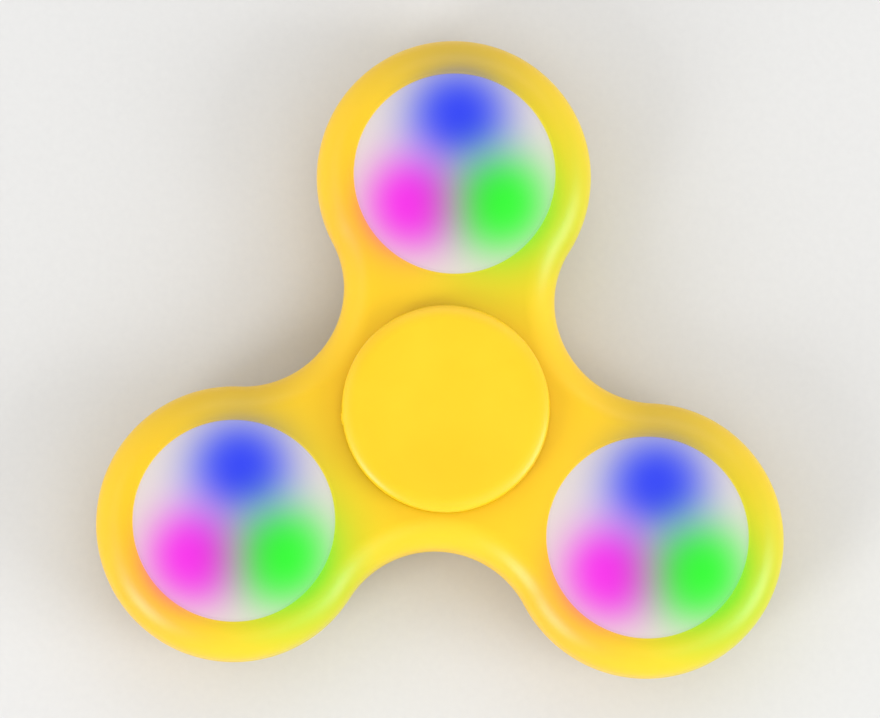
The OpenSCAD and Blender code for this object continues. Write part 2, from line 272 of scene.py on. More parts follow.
class Finish:
    """A material in the making, with short calls for the nodes it uses."""

    def __init__(self, name):
        self.material = bpy.data.materials.new(name)
        self.material.use_nodes = True
        tree = self.material.node_tree
        self.nodes = tree.nodes
        self.links = tree.links
        self.shader = next(n for n in self.nodes if n.type == "BSDF_PRINCIPLED")
        self.place = self.node("ShaderNodeTexCoord").outputs["Object"]

    def node(self, kind, **settings):
        made = self.nodes.new(kind)
        for key, value in settings.items():
            setattr(made, key, value)
        return made

    def feed(self, socket, value):
        if isinstance(value, bpy.types.NodeSocket):
            self.links.new(value, socket)
        else:
            socket.default_value = value

    def set(self, name, value):
        self.feed(self.shader.inputs[name], value)

    def math(self, operation, *values):
        made = self.node("ShaderNodeMath", operation=operation)
        for socket, value in zip(made.inputs, values):
            self.feed(socket, value)
        return made.outputs[0]

    def vector(self, operation, *values, scale=None):
        made = self.node("ShaderNodeVectorMath", operation=operation)
        for socket, value in zip(made.inputs, values):
            self.feed(socket, value)
        if scale is not None:
            self.feed(made.inputs["Scale"], scale)
        return made.outputs["Value" if operation in ("DISTANCE", "LENGTH", "DOT_PRODUCT") else "Vector"]

    def noise(self, scale, detail=2.0, roughness=0.5, place=None):
        made = self.node("ShaderNodeTexNoise")
        self.feed(made.inputs["Vector"], place or self.place)
        made.inputs["Scale"].default_value = scale
        made.inputs["Detail"].default_value = detail
        made.inputs["Roughness"].default_value = roughness
        return made.outputs["Fac"]

    def spread(self, value, low, high, start=0.3, end=0.7):
        """value from start to end, turned into low to high and held there."""
        made = self.node("ShaderNodeMapRange", interpolation_type="SMOOTHSTEP")
        self.feed(made.inputs["Value"], value)
        self.feed(made.inputs["From Min"], start)
        self.feed(made.inputs["From Max"], end)
        self.feed(made.inputs["To Min"], low)
        self.feed(made.inputs["To Max"], high)
        return made.outputs["Result"]

    def blend(self, share, first, second):
        """A colour that goes from first to second as share goes from 0 to 1."""
        made = self.node("ShaderNodeMix", data_type="RGBA")
        for socket, value in ((made.inputs[0], share), (made.inputs[6], first), (made.inputs[7], second)):
            if isinstance(value, tuple) and len(value) == 3:
                value = (*value, 1)
            self.feed(socket, value)
        return made.outputs[2]

    def bump(self, height, strength, distance):
        """Relief from a pattern. distance is its depth in metres."""
        made = self.node("ShaderNodeBump")
        made.inputs["Strength"].default_value = strength
        made.inputs["Distance"].default_value = distance
        self.feed(made.inputs["Height"], height)
        self.feed(self.shader.inputs["Normal"], made.outputs["Normal"])

    def stretched(self, scale):
        """Object coordinates scaled by axis, for grain that runs one way."""
        return self.vector("MULTIPLY", self.place, scale)

    def axis_distance(self, centre=(0, 0)):
        """Distance from a vertical axis, in metres."""
        flat = self.vector("MULTIPLY", self.place, (1, 1, 0))
        return self.vector("DISTANCE", flat, (centre[0] * MM, centre[1] * MM, 0))


# ---------------------------------------------------------------- light from the LEDs, painted into the plastics' colour and emission

# The LEDs' glow is painted: round each lit spot their colours are mixed into a plastic's surface colour and
# given out as emission
LED_SEEN = {"blue": BLUE_SEEN, "pink": PINK_SEEN, "green": GREEN_SEEN}
# Where each lit spot shows on a lens, from its centre, and how far each module's spots are shifted
SPOT_PLACES = {"blue": Vector((0.0, 6.4)), "pink": Vector((-4.55, -3.45)), "green": Vector((4.6, -2.95))}
SPOT_SHIFTS = {1: Vector((0.2, 0.0)), 2: Vector((0.5, -0.6)), 3: Vector((0.75, -0.55))}
SPOT_Z = 10.8
# Width, steepness and strength of each spot on the lens, and of every spot on the cup behind it
LENS_SPOTS = {"blue": (5.55, 2.3, 1.0), "pink": (5.3, 2.35, 0.9), "green": (5.6, 2.5, 0.985)}
CUP_SPOT = (9.0, 3.0, 0.35)
# Strength at the window's edge, the distance over which it falls to a third, and gain on the thinner flank
BODY_SPOTS = {"blue": (0.42, 2.1, 1.1), "pink": (0.47, 1.6, 1.5), "green": (0.57, 3.1, 1.2)}
# Heights over which the gain comes in, from the flat face down
FLANK_TOP_Z = 11.45
FLANK_FULL_Z = 11.05
# From a spot to the nearest point of the window's edge
WINDOW_DISTANCE = 5.1
# Keeps a division by the weights' sum safe where no LED reaches
SMALLEST_WEIGHT = 1e-4
# Shares of the colour that are given out as light where the LEDs' tint is full
BODY_LIT_SHARE = 0.5
CUP_LIT_SHARE = 0.4
# The same share on the lens, where it is bare and where its tint is full
LENS_LIT_SHARE = (0.35, 0.7)
# The lens's rim, and the window's wall round it, get painted glow, as if lit by light that leaks past: share
# and where it fades
RIM_LEAK = 0.8
RIM_LEAK_R = (MODULE_R - 0.3, MODULE_R - 0.05)
WALL_LEAK = 0.6
WALL_LEAK_R = (MODULE_R + 0.1, MODULE_R + 0.4)


def spot_places(colour):
    for m, centre in LOBE_CENTRES.items():
        spot = centre + SPOT_PLACES[colour] + SPOT_SHIFTS[m]
        yield (spot.x * MM, spot.y * MM, SPOT_Z * MM)


def nearest_spot(finish, colour):
    """Distance to the nearest lit spot of this colour, in millimetres."""
    distances = [finish.vector("DISTANCE", finish.place, place) for place in spot_places(colour)]
    nearest = finish.math("MINIMUM", finish.math("MINIMUM", distances[0], distances[1]), distances[2])
    return finish.math("DIVIDE", nearest, MM)


def spot_weight(finish, colour, width, steepness, strength):
    """How strongly this colour's painted LED glow tints the plastic over or under its LEDs."""
    relative = finish.math("DIVIDE", nearest_spot(finish, colour), width)
    fall = finish.math("EXPONENT", finish.math("MULTIPLY", finish.math("POWER", relative, steepness), -1.0))
    return finish.math("MULTIPLY", fall, strength)


def body_weight(finish, colour):
    """How strongly this colour's painted LED glow tints the yellow plastic round a window."""
    strength, fade, gain = BODY_SPOTS[colour]
    past_edge = finish.math("SUBTRACT", nearest_spot(finish, colour), WINDOW_DISTANCE)
    fall = finish.math("EXPONENT", finish.math("DIVIDE", past_edge, -fade))
    height = finish.vector("DOT_PRODUCT", finish.place, (0, 0, 1))
    thinner = finish.spread(height, gain, 1.0, FLANK_FULL_Z * MM, FLANK_TOP_Z * MM)
    weight = finish.math("MULTIPLY", finish.math("MULTIPLY", fall, strength), thinner)
    return finish.math("MINIMUM", weight, strength)


def lens_distance(finish):
    """Distance to the axis of the nearest light module, in metres."""
    nearest = [finish.axis_distance(centre) for centre in LOBE_CENTRES.values()]
    return finish.math("MINIMUM", finish.math("MINIMUM", nearest[0], nearest[1]), nearest[2])


def glow(finish, base_seen, weights, lit_share):
    """Paints the LEDs' glow: overlays the LED colours on the base as they look on a screen, and splits the
    result in two.

    lit_share(cover) is the share that is given out as emitted light. The rest is set as the surface's colour,
    where the LEDs' tint is painted light too.
    """
    total = finish.math("ADD", finish.math("ADD", weights["blue"], weights["pink"]), weights["green"])
    total = finish.math("MAXIMUM", total, SMALLEST_WEIGHT)
    tint = None
    clear = None
    for colour, weight in weights.items():
        part = finish.vector("SCALE", seen(LED_SEEN[colour]), scale=weight)
        tint = part if tint is None else finish.vector("ADD", tint, part)
        passed = finish.math("SUBTRACT", 1.0, weight)
        clear = passed if clear is None else finish.math("MULTIPLY", clear, passed)
    tint = finish.vector("SCALE", tint, scale=finish.math("DIVIDE", 1.0, total))
    cover = finish.math("SUBTRACT", 1.0, clear)
    display = finish.blend(cover, base_seen, tint)
    gamma = finish.node("ShaderNodeGamma")
    finish.feed(gamma.inputs["Color"], display)
    gamma.inputs["Gamma"].default_value = DISPLAY_GAMMA
    result = gamma.outputs["Color"]
    lit = lit_share(cover)
    matt = finish.math("SUBTRACT", 1.0, lit)
    surface = finish.vector("SCALE", result, scale=finish.math("DIVIDE", matt, LIGHT_LEVEL))
    light = finish.vector("SCALE", result, scale=lit)
    finish.set("Base Color", surface)
    finish.set("Emission Color", light)
    finish.set("Emission Strength", 1.0)


# ---------------------------------------------------------------- materials

BODY_ROUGHNESS = 0.37
CAP_ROUGHNESS = 0.36
# Relief of the spark texture, and of metal's grain and the lens's frost, in metres
SPARK_DEPTH = 0.00002
GRAIN_DEPTH = 0.00001
# Light that wanders into the yellow plastic: share, how far in metres, and how that differs by colour
SCATTER_SHARE = 0.12
SCATTER_REACH = 0.0006
SCATTER_BY_COLOUR = (1.0, 0.6, 0.1)
# Distance from a lens's centre at which its milky core starts to turn into the rim's colour
LENS_CORE_R = 4.0


def moulded_surface(finish, roughness):
    """The skin of a moulded part: fine spark texture, and gloss that varies along faint flow waves."""
    fine = finish.noise(scale=3500, detail=2, roughness=0.5)
    waves = finish.noise(scale=160, detail=2, roughness=0.5)
    finish.set("Roughness", finish.spread(waves, roughness - 0.03, roughness + 0.04, start=0.0, end=1.0))
    finish.bump(fine, strength=0.15, distance=SPARK_DEPTH)


def yellow_skin(finish, roughness):
    """What the body and the finger caps have in common: moulded skin and shallow scattering."""
    moulded_surface(finish, roughness)
    finish.set("Subsurface Weight", SCATTER_SHARE)
    finish.set("Subsurface Radius", SCATTER_BY_COLOUR)
    finish.set("Subsurface Scale", SCATTER_REACH)


def yellow_body_finish():
    finish = Finish("yellow_abs_lit")
    patches = finish.spread(finish.noise(scale=55, detail=3, roughness=0.55), 0.0, 1.0, start=0.35, end=0.65)
    base = finish.blend(patches, seen(YELLOW_DEEP_SEEN), seen(YELLOW_SEEN))
    # Painted glow from the LEDs round each window, in the surface colour and as emission
    weights = {colour: body_weight(finish, colour) for colour in LED_SEEN}
    leak_start, leak_end = WALL_LEAK_R
    leak = finish.spread(lens_distance(finish), WALL_LEAK, 0.0, leak_start * MM, leak_end * MM)

    def lit_share(cover):
        return finish.math("MAXIMUM", finish.math("MULTIPLY", cover, BODY_LIT_SHARE), leak)

    glow(finish, base, weights, lit_share)
    yellow_skin(finish, BODY_ROUGHNESS)
    return finish.material


def yellow_cap_finish():
    finish = Finish("yellow_abs_cap")
    patches = finish.spread(finish.noise(scale=70, detail=3, roughness=0.5), 0.0, 1.0, start=0.35, end=0.65)
    finish.set("Base Color", finish.blend(patches, linear(YELLOW_DEEP_SEEN), linear(CAP_SEEN)))
    yellow_skin(finish, CAP_ROUGHNESS)
    return finish.material


def lens_finish():
    """A frosted dome with painted glow from its own three LEDs, milky between them."""
    finish = Finish("frosted_lens_lit")
    from_centre = lens_distance(finish)
    rim = finish.spread(from_centre, 0.0, 1.0, LENS_CORE_R * MM, MODULE_R * MM)
    base = finish.blend(rim, seen(LENS_CENTRE_SEEN), seen(LENS_RIM_SEEN))
    weights = {colour: spot_weight(finish, colour, *LENS_SPOTS[colour]) for colour in LED_SEEN}
    leak_start, leak_end = RIM_LEAK_R
    leak = finish.spread(from_centre, 0.0, RIM_LEAK, leak_start * MM, leak_end * MM)

    def lit_share(cover):
        return finish.math("MAXIMUM", finish.spread(cover, *LENS_LIT_SHARE, start=0.0, end=1.0), leak)

    glow(finish, base, weights, lit_share)
    frost = finish.noise(scale=14000, detail=2, roughness=0.6)
    finish.set("Roughness", finish.spread(finish.noise(scale=400), 0.40, 0.50))
    finish.set("Specular IOR Level", 0.3)
    finish.bump(frost, strength=0.25, distance=GRAIN_DEPTH)
    return finish.material


def plain_plastic_finish(name, tones_seen, roughness, scale):
    """Moulded plastic whose colour drifts a little between two tones."""
    finish = Finish(name)
    darker, lighter = tones_seen
    patches = finish.spread(finish.noise(scale, detail=3, roughness=0.5), 0.0, 1.0)
    finish.set("Base Color", finish.blend(patches, linear(darker), linear(lighter)))
    moulded_surface(finish, roughness)
    return finish.material


def cup_finish():
    """White moulded plastic with a little painted glow where the LEDs' light comes through its wall."""
    finish = Finish("white_module_plastic")
    darker, lighter = CUP_WHITE_SEEN
    patches = finish.spread(finish.noise(scale=90, detail=3, roughness=0.5), 0.0, 1.0)
    base = finish.blend(patches, seen(darker), seen(lighter))
    weights = {colour: spot_weight(finish, colour, *CUP_SPOT) for colour in LED_SEEN}
    glow(finish, base, weights, lambda cover: finish.math("MULTIPLY", cover, CUP_LIT_SHARE))
    moulded_surface(finish, roughness=0.42)
    return finish.material


def turned_steel_finish(name, roughness, lines_per_metre):
    """Steel with fine turning marks round the spin axis."""
    finish = Finish(name)
    across = finish.math("MULTIPLY", finish.axis_distance(), lines_per_metre)
    height = finish.vector("DOT_PRODUCT", finish.place, (0, 0, 1))
    along = finish.math("MULTIPLY", height, lines_per_metre)
    marks = finish.node("ShaderNodeCombineXYZ")
    finish.feed(marks.inputs["X"], across)
    finish.feed(marks.inputs["Y"], along)
    lines = finish.noise(scale=6, detail=3, roughness=0.7, place=marks.outputs["Vector"])
    finish.set("Base Color", finish.blend(lines, *TURNED_STEEL))
    finish.set("Metallic", 1.0)
    finish.set("Roughness", finish.spread(lines, roughness - 0.05, roughness + 0.1))
    finish.bump(lines, strength=0.2, distance=GRAIN_DEPTH)
    return finish.material


def ball_finish():
    finish = Finish("polished_ball_steel")
    smudge = finish.noise(scale=900, detail=3, roughness=0.6)
    finish.set("Base Color", finish.blend(smudge, *BALL_STEEL))
    finish.set("Metallic", 1.0)
    finish.set("Roughness", finish.spread(smudge, 0.06, 0.16))
    return finish.material


def plated_finish(name, tones, roughness):
    """Plated sheet metal with a fine rolled grain along X."""
    finish = Finish(name)
    grain = finish.noise(scale=700, detail=4, roughness=0.6, place=finish.stretched((0.15, 6.0, 1.0)))
    finish.set("Base Color", finish.blend(grain, *tones))
    finish.set("Metallic", 1.0)
    finish.set("Roughness", finish.spread(grain, roughness - 0.06, roughness + 0.1))
    finish.bump(grain, strength=0.15, distance=GRAIN_DEPTH)
    return finish.material


def board_finish():
    """Green solder mask with a glass weave and lighter copper tracks under it."""
    finish = Finish("board_solder_mask")
    weave = finish.node("ShaderNodeTexWave", wave_type="BANDS", bands_direction="DIAGONAL")
    finish.feed(weave.inputs["Vector"], finish.place)
    weave.inputs["Scale"].default_value = 900
    weave.inputs["Distortion"].default_value = 1.5
    tracks = finish.node("ShaderNodeTexBrick", offset=0.35)
    finish.feed(tracks.inputs["Vector"], finish.place)
    tracks.inputs["Scale"].default_value = 260
    tracks.inputs["Mortar Size"].default_value = 0.06
    mask = finish.blend(weave.outputs["Fac"], *SOLDER_MASK)
    finish.set("Base Color", finish.blend(tracks.outputs["Fac"], mask, COPPER_UNDER_MASK))
    finish.set("Roughness", finish.spread(finish.noise(scale=500), 0.25, 0.38))
    finish.bump(tracks.outputs["Fac"], strength=0.3, distance=0.00004)
    return finish.material


def resin_finish():
    finish = Finish("black_chip_resin")
    drips = finish.noise(scale=700, detail=2, roughness=0.5)
    finish.set("Base Color", finish.blend(drips, *CHIP_RESIN))
    finish.set("Roughness", finish.spread(drips, 0.16, 0.3))
    finish.bump(drips, strength=0.4, distance=0.00008)
    return finish.material


def led_finish(colour):
    """A lit LED in milky resin, slightly uneven in tone."""
    finish = Finish(f"lit_led_{colour}")
    tone = tuple((c / 255) ** DISPLAY_GAMMA for c in LED_SEEN[colour])

    def milky(share, white):
        return tuple(share * c + white for c in tone)

    haze = finish.noise(scale=1500, detail=2, roughness=0.5)
    finish.set("Base Color", finish.blend(haze, milky(0.6, 0.3), milky(0.5, 0.4)))
    finish.set("Emission Color", finish.blend(haze, tone, milky(0.8, 0.2)))
    finish.set("Emission Strength", 2.0)
    finish.set("Roughness", finish.spread(haze, 0.2, 0.35))
    return finish.material


# ---------------------------------------------------------------- the body

FACE_EDGE_R = 3.4
WINDOW_FIT = 0.02
WINDOW_EDGE_R = 0.12
HUB_EDGE_R = 0.3
SEAT_LIP_R = 10
# Straight bit of flat face that a path keeps past its rounded edge
FACE_RUN = 0.001
# The mould's parting line, a low ridge at mid height
SEAM_PROUD = 0.02
SEAM_HALF_H = 0.12

# The two edge roundings that inside corners and small steps share
SOFT_EDGE_R = 0.1
SHARP_EDGE_R = 0.05

LOBE_STEPS = 240
WAIST_STEPS = 80
HOLE_STEPS = 216
FACE_EDGE_STEPS = 24

# This output of delaunay_2d_cdt is all triangles inside the outer edges, also those in holes
CDT_TRIANGLES_INSIDE = 2
CDT_TOLERANCE = 1e-7


def body_outline(offset):
    """The three-armed outline with its arcs moved out by offset, and its outward directions.

    The circles of lobes and waists touch and stand on a hexagon, so a lobe turns 240 degrees and a waist 120.
    """
    points = []
    outward = []
    for arm in ARM_ANGLES:
        lobe_angles = np.radians(np.linspace(arm - 120, arm + 120, LOBE_STEPS + 1))
        waist_angles = np.radians(np.linspace(arm - 60, arm - 180, WAIST_STEPS + 1))[1:-1]
        arcs = (
            (arm, lobe_angles, LOBE_R + offset, 1),
            (arm + 60, waist_angles, WAIST_R - offset, -1),
        )
        for place, angles, radius, side in arcs:
            centre_x = ARM_REACH * math.cos(math.radians(place))
            centre_y = ARM_REACH * math.sin(math.radians(place))
            for c, s in zip(np.cos(angles), np.sin(angles)):
                points.append((centre_x + radius * c, centre_y + radius * s))
                outward.append((side * c, side * s))
    return points, outward


def body_side_path():
    """From the lower flat face, round the edge, up the wall over its seam, and in to the upper face."""
    corners = [
        (-FACE_EDGE_R - FACE_RUN, BODY_LOW),
        (0, BODY_LOW),
        (0, MID_Z - SEAM_HALF_H),
        (SEAM_PROUD, MID_Z - SEAM_HALF_H / 3),
        (SEAM_PROUD, MID_Z + SEAM_HALF_H / 3),
        (0, MID_Z + SEAM_HALF_H),
        (0, BODY_TOP),
        (-FACE_EDGE_R - FACE_RUN, BODY_TOP),
    ]
    seam_r = SEAM_PROUD / 2
    lower = corner_path(corners[:3], [FACE_EDGE_R], FACE_EDGE_STEPS)
    seam = corner_path(corners[1:7], [seam_r] * 4, steps=2)[1:-1]
    upper = corner_path(corners[5:], [FACE_EDGE_R], FACE_EDGE_STEPS)
    return lower[:-1] + seam + upper[1:]


def ring_disc(shape, ring):
    """Centre and radius of a round ring of points."""
    flat = [Vector(shape.points[i][:2]) for i in ring]
    centre = sum(flat, Vector((0, 0))) / len(flat)
    return centre, (flat[0] - centre).length


def face_between(shape, outer, holes, facing_up):
    """Fills the flat face inside the outer ring and outside the holes, which are round."""
    ids = []
    edges = []
    for ring in (outer, *holes):
        start = len(ids)
        ids.extend(ring)
        count = len(ring)
        edges.extend((start + i, start + (i + 1) % count) for i in range(count))
    flat = [Vector(shape.points[i][:2]) for i in ids]
    filled = delaunay_2d_cdt(flat, edges, [], CDT_TRIANGLES_INSIDE, CDT_TOLERANCE)
    triangles, sources = filled[2], filled[3]
    discs = [ring_disc(shape, ring) for ring in holes]
    for triangle in triangles:
        a, b, c = (ids[sources[i][0]] for i in triangle)
        pa, pb, pc = (Vector(shape.points[i][:2]) for i in (a, b, c))
        middle = (pa + pb + pc) / 3
        if any((middle - centre).length < radius for centre, radius in discs):
            continue
        turns_left = (pb - pa).cross(pc - pa) > 0
        shape.faces.append((a, b, c) if turns_left == facing_up else (a, c, b))


def build_body(finish):
    shape = Shape()
    side = sweep(shape, body_outline, body_side_path())
    low_holes = []
    top_holes = []
    window_r = MODULE_R + WINDOW_FIT
    for centre in LOBE_CENTRES.values():
        wall = corner_path(
            [
                (window_r + WINDOW_EDGE_R + FACE_RUN, BODY_TOP),
                (window_r, BODY_TOP),
                (window_r, BODY_LOW),
                (window_r + WINDOW_EDGE_R + FACE_RUN, BODY_LOW),
            ],
            [WINDOW_EDGE_R] * 2,
            steps=8,
        )
        rings = sweep(shape, circle_outline(centre, HOLE_STEPS), wall)
        top_holes.append(rings[0])
        low_holes.append(rings[-1])
    seat_r = BEARING_R + WINDOW_FIT
    seat = corner_path(
        [
            (seat_r + HUB_EDGE_R + FACE_RUN, BODY_TOP),
            (seat_r, BODY_TOP),
            (seat_r, BEARING_LOW_Z),
            (SEAT_LIP_R, BEARING_LOW_Z),
            (SEAT_LIP_R, BODY_LOW),
            (SEAT_LIP_R + HUB_EDGE_R + FACE_RUN, BODY_LOW),
        ],
        [HUB_EDGE_R, SOFT_EDGE_R, SOFT_EDGE_R, HUB_EDGE_R],
    )
    rings = sweep(shape, circle_outline((0, 0), HOLE_STEPS), seat)
    top_holes.append(rings[0])
    low_holes.append(rings[-1])
    face_between(shape, side[0], low_holes, facing_up=False)
    face_between(shape, side[-1], top_holes, facing_up=True)
    return make_piece("spinner_body", shape, finish, "rotor", "body")


# ---------------------------------------------------------------- the finger caps

CAP_GAP = 0.5
CAP_UNDER_Z = BODY_TOP + CAP_GAP
CAP_SHOULDER_W = 1.7
CAP_SHOULDER_H = 0.8
CAP_WALL_END = 0.1
CAP_UNDER_EDGE = 0.3
CAP_DISH = 0.3
# Above 1, the dish meets the shoulder without a crease
DISH_POWER = 1.5
COLLAR_R = 5.5
STEM_R = 3.98
STEM_HOLLOW_R = 2.6
STEM_ROOT = 0.8
STEM_SLOT_W = 0.8
STEM_EDGE_R = 0.12

# The stub of a trimmed moulding gate on the rim: a flat-topped bump with two shallow dips
GATE_ANGLE = math.radians(188)
GATE_HALF_ANGLE = math.radians(3.1)
GATE_PROUD = 0.14
GATE_DIP = 0.2
GATE_SQUARENESS = 16

CAP_STEPS = 480
SHOULDER_STEPS = 20
DISH_STEPS = 40
STEM_STEPS = 24


def cap_top_path():
    """The broad rounded shoulder, then the dished face to the axis."""
    path = []
    dish_r = CAP_R - CAP_SHOULDER_W
    for step in range(SHOULDER_STEPS):
        turn = math.pi / 2 * step / SHOULDER_STEPS
        c, s = math.cos(turn), math.sin(turn)
        tilt = math.hypot(c * CAP_SHOULDER_H, s * CAP_SHOULDER_W)
        place = (dish_r + CAP_SHOULDER_W * c, CAP_TOP - CAP_SHOULDER_H * (1 - s))
        path.append((*place, c * CAP_SHOULDER_H / tilt, s * CAP_SHOULDER_W / tilt))
    for step in range(DISH_STEPS + 1):
        share = 1 - step / DISH_STEPS
        r = dish_r * share
        drop = CAP_DISH * (1 - share ** 2) ** DISH_POWER
        slope = CAP_DISH * DISH_POWER * (1 - share ** 2) ** (DISH_POWER - 1) * -2 * share / dish_r
        tilt = math.hypot(1, slope)
        path.append((r, CAP_TOP - drop, slope / tilt, 1 / tilt))
    return path


def push_gate_out(shape):
    """Moves the rim's points outwards where the gate was cut off."""
    for i, (x, y, z) in enumerate(shape.points):
        r = math.hypot(x, y)
        away = (math.atan2(y, x) - GATE_ANGLE + math.pi) % (2 * math.pi) - math.pi
        if r > CAP_R - CAP_SHOULDER_H and abs(away) < GATE_HALF_ANGLE and z > CAP_UNDER_Z:
            share = away / GATE_HALF_ANGLE
            bump = 1 - share ** GATE_SQUARENESS
            dips = 1 - GATE_DIP + GATE_DIP * math.cos(2 * math.pi * share)
            rim_share = (r - CAP_R + CAP_SHOULDER_H) / CAP_SHOULDER_H
            grow = 1 + GATE_PROUD * bump * dips * rim_share / r
            shape.points[i] = (x * grow, y * grow, z)


def build_cap(name, replaced, upside_down, finish):
    """A dished cap on a collar, with a stem of four prongs that presses into the bearing."""
    shape = Shape()
    root_z = BEARING_TOP_Z - STEM_ROOT
    outside = corner_path(
        [
            (0, BEARING_TOP_Z),
            (STEM_HOLLOW_R, BEARING_TOP_Z),
            (STEM_HOLLOW_R, root_z),
            (STEM_R, root_z),
            (STEM_R, BEARING_TOP_Z),
            (COLLAR_R, BEARING_TOP_Z),
            (COLLAR_R, CAP_UNDER_Z),
            (CAP_R, CAP_UNDER_Z),
            (CAP_R, CAP_TOP - CAP_SHOULDER_H - CAP_WALL_END),
        ],
        [SOFT_EDGE_R, SHARP_EDGE_R, SHARP_EDGE_R, SOFT_EDGE_R, SOFT_EDGE_R, SOFT_EDGE_R, CAP_UNDER_EDGE],
        steps=12,
    )
    lathe(shape, outside + cap_top_path(), (0, 0), CAP_STEPS)
    push_gate_out(shape)
    slot_half = math.degrees(math.asin(STEM_SLOT_W / 2 / STEM_R))
    for quarter in range(4):
        angles = (90 * quarter + slot_half, 90 * (quarter + 1) - slot_half)
        arc_block(shape, (STEM_HOLLOW_R, STEM_R), (CAP_STEM_END, root_z), angles, STEM_EDGE_R, STEM_STEPS)
    if upside_down:
        shape.mirror_heights(MID_Z)
    return make_piece(name, shape, finish, "hub", replaced)


# ---------------------------------------------------------------- the light modules

LENS_EDGE_R = 0.15
# The rounding stops this far short of the dome
LENS_EDGE_SPARE = 0.02
LENS_RIM_DROP = 0.2
LENS_RIM_Z = BODY_TOP - LENS_RIM_DROP
# Rise of the rim's narrow slope from the lens's wall to its dome
LENS_RIM_RISE = 0.012
LENS_SKIN = 0.9
LENS_FOOT_R = (9.3, 9.9)
LENS_FOOT_CORNER_R = 0.03
LENS_SKIRT_R = 10.55
SKIRT_GAP = 0.1

CUP_SPIGOT_R = 10.5
CUP_SPIGOT_H = 1
CUP_INNER_R = 10
CUP_EDGE_R = 0.3
CUP_CORNER_R = 0.2
CUP_FLOOR_T = 0.8
CUP_FLOOR_Z = BODY_LOW + CUP_FLOOR_T
# A shallow ring groove in the cup's back
GROOVE_R = 8.6
GROOVE_W = 0.12
GROOVE_RIM_R = 0.04
GROOVE_FLOOR_R = 0.03

BUTTON_R = 1.34
BUTTON_EDGE_R = 0.2
BUTTON_DISH = 0.08
BUTTON_DISH_R = 0.7 * BUTTON_R
BUTTON_DISH_EDGE_R = 0.3
BUTTON_HOLE_R = 1.4
BUTTON_HOLE_EDGE_R = 0.15
BUTTON_FLANGE_R = 1.85
BUTTON_FLANGE_T = 0.5
BUTTON_FLANGE_CORNER_R = 0.03
BUTTON_FLANGE_EDGE_R = 0.08
BUTTON_STEM_R = 0.9
# The point on the cup's floor where the loop of its section starts and ends
FLOOR_START_R = BUTTON_HOLE_R + 0.5

# Dividers between the cells, each with a pin that holds the board
DIVIDER_ANGLES = (90, 210, 330)
DIVIDER_W = 2.2
DIVIDER_START_R = 4.6
DIVIDER_CORNER_R = 0.3
DIVIDER_EDGE_R = 0.12
PIN_REACH = 8.8
PIN_R = 0.5
PIN_H = 0.4
PIN_EDGE_R = 0.15
# How far a divider runs into the wall, and a divider or pin into what it stands on
WALL_OVERLAP = 0.3
FOOT_OVERLAP = 0.2

CROWN_STEPS = 36
MODULE_STEPS = 240
BUTTON_STEPS = 96
PIN_STEPS = 32


def crown_path(rim_r):
    """The lens's domed top, from the edge of the dome to its axis."""
    rise = LENS_CROWN_Z - LENS_RIM_Z
    sphere_r = (rim_r ** 2 + rise ** 2) / (2 * rise)
    path = []
    for step in range(CROWN_STEPS + 1):
        r = rim_r * (1 - step / CROWN_STEPS)
        normal_r = r / sphere_r
        normal_z = math.sqrt(1 - normal_r ** 2)
        path.append((r, LENS_CROWN_Z - sphere_r * (1 - normal_z), normal_r, normal_z))
    return path


def build_lens(m, finish):
    shape = Shape()
    crown = crown_path(MODULE_R - LENS_EDGE_R)
    under_z = LENS_RIM_Z - LENS_SKIN
    skirt_z = SPIGOT_TOP_Z + SKIRT_GAP
    shell = corner_path(
        [
            (0, under_z),
            (LENS_FOOT_R[0], under_z),
            (LENS_FOOT_R[0], SPIGOT_TOP_Z),
            (LENS_FOOT_R[1], SPIGOT_TOP_Z),
            (LENS_FOOT_R[1], skirt_z),
            (LENS_SKIRT_R, skirt_z),
            (LENS_SKIRT_R, LENS_SPLIT_Z),
            (MODULE_R, LENS_SPLIT_Z),
            (MODULE_R, LENS_RIM_Z),
            (MODULE_R - LENS_EDGE_R, LENS_RIM_Z + LENS_RIM_RISE),
        ],
        [
            SOFT_EDGE_R, SHARP_EDGE_R, SHARP_EDGE_R, LENS_FOOT_CORNER_R,
            *[SHARP_EDGE_R] * 3, LENS_EDGE_R - LENS_EDGE_SPARE,
        ],
    )
    lathe(shape, shell[:-1] + crown, LOBE_CENTRES[m], MODULE_STEPS)
    return make_piece(f"lit_lens_{m}", shape, finish, "rotor", f"lens_{m}")


def divider_outline(centre, angle):
    """A rounded rectangle along a radius of the module, for sweep."""
    length = CUP_INNER_R - DIVIDER_START_R + WALL_OVERLAP
    straight_x = length / 2 - DIVIDER_CORNER_R
    straight_y = DIVIDER_W / 2 - DIVIDER_CORNER_R
    steps = 5
    flat = []
    for quarter, (side_x, side_y) in enumerate(((1, 1), (-1, 1), (-1, -1), (1, -1))):
        for step in range(steps + 1):
            turn = math.radians(90 * quarter + 90 * step / steps)
            out = (math.cos(turn), math.sin(turn))
            flat.append(((side_x * straight_x, side_y * straight_y), out))
    c, s = math.cos(math.radians(angle)), math.sin(math.radians(angle))
    middle = DIVIDER_START_R + length / 2

    def outline(offset):
        points = []
        outward = []
        for (x, y), (out_x, out_y) in flat:
            local_x = middle + x + (DIVIDER_CORNER_R + offset) * out_x
            local_y = y + (DIVIDER_CORNER_R + offset) * out_y
            points.append((centre[0] + c * local_x - s * local_y, centre[1] + s * local_x + c * local_y))
            outward.append((c * out_x - s * out_y, s * out_x + c * out_y))
        return points, outward

    return outline


